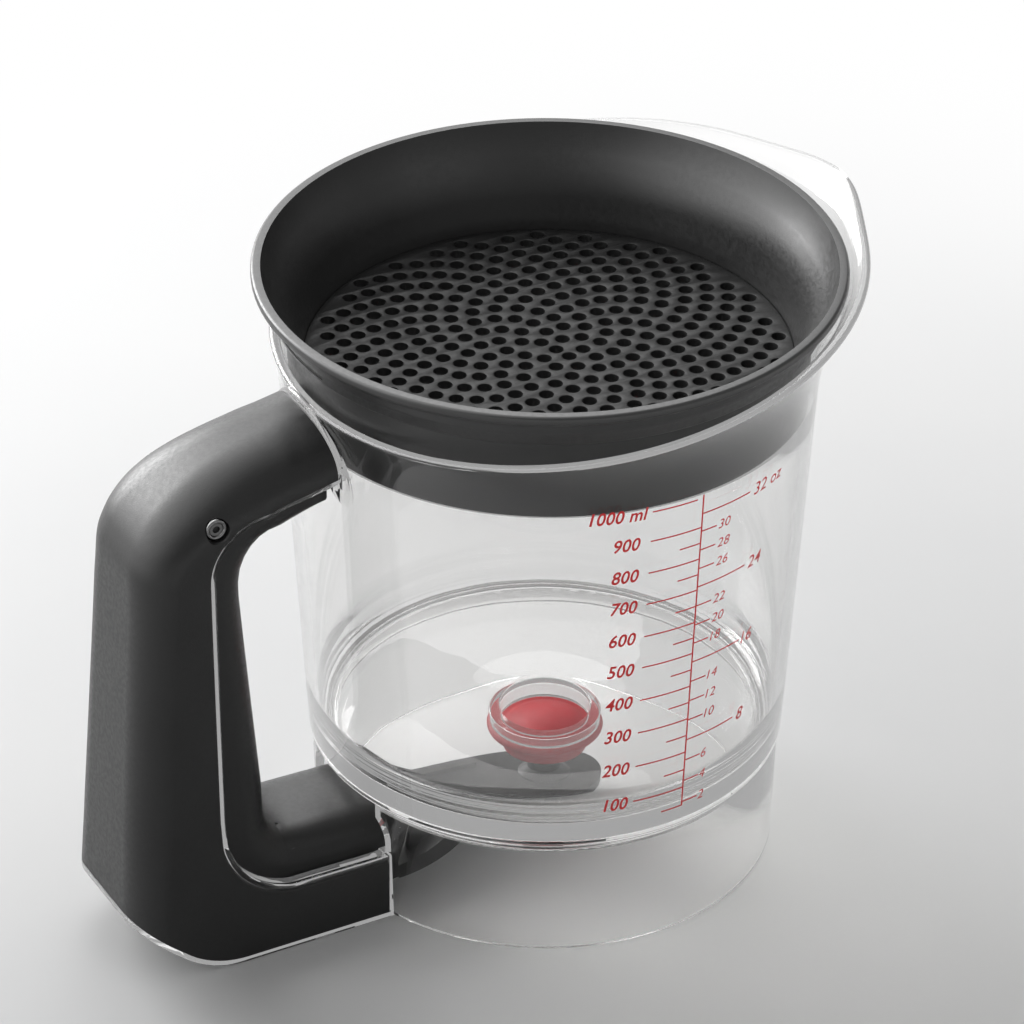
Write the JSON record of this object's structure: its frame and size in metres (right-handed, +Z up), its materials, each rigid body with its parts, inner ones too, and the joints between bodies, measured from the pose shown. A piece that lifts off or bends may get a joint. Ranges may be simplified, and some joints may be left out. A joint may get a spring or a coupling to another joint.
{
  "type": "gravy fat separator",
  "caption": "Clear measuring cup on a clear skirt, with a bottom outlet sealed by a stopper, a trigger in a black handle and a lift-out perforated strainer.",
  "frame": {"origin": "on the cup's axis, in the plane that the skirt stands on", "axes": "+Z up along the cup's axis, +X to the pouring lip, -X to the handle, +Y to the side away from the printed scale"},
  "size_m": [0.1974, 0.1422, 0.1605],
  "materials": {
    "clear_plastic": "clear, polished",
    "black_plastic": "fine grained, satin",
    "steel": "satin",
    "red_silicone": "smooth, matte"
  },
  "bodies": {
    "cup_body": {"cup": "clear_plastic", "stand": "clear_plastic", "grip_cover": "black_plastic", "pivot_pin": "steel", "pivot_bushes": "steel", "return_spring": "steel"},
    "trigger_body": {"trigger": "black_plastic", "release_arm": "black_plastic", "arm_screws": "steel", "stopper": "red_silicone"},
    "strainer_body": {"strainer_bowl": "black_plastic", "strainer_screen": "black_plastic"}
  },
  "joints": [
    {"name": "trigger_pivot", "type": "hinge", "parent": "cup_body", "child": "trigger_body", "pos_m": [-0.0946, 0, 0.1204], "axis": [0, 1, 0], "range_deg": [0, 3.3], "stiffness_Nm_per_rad": 0.06, "springref_deg": -85.94},
    {"name": "strainer_lift", "type": "slide", "parent": "cup_body", "child": "strainer_body", "axis": [0, 0, 1], "range_m": [0, 0.06]}
  ]
}
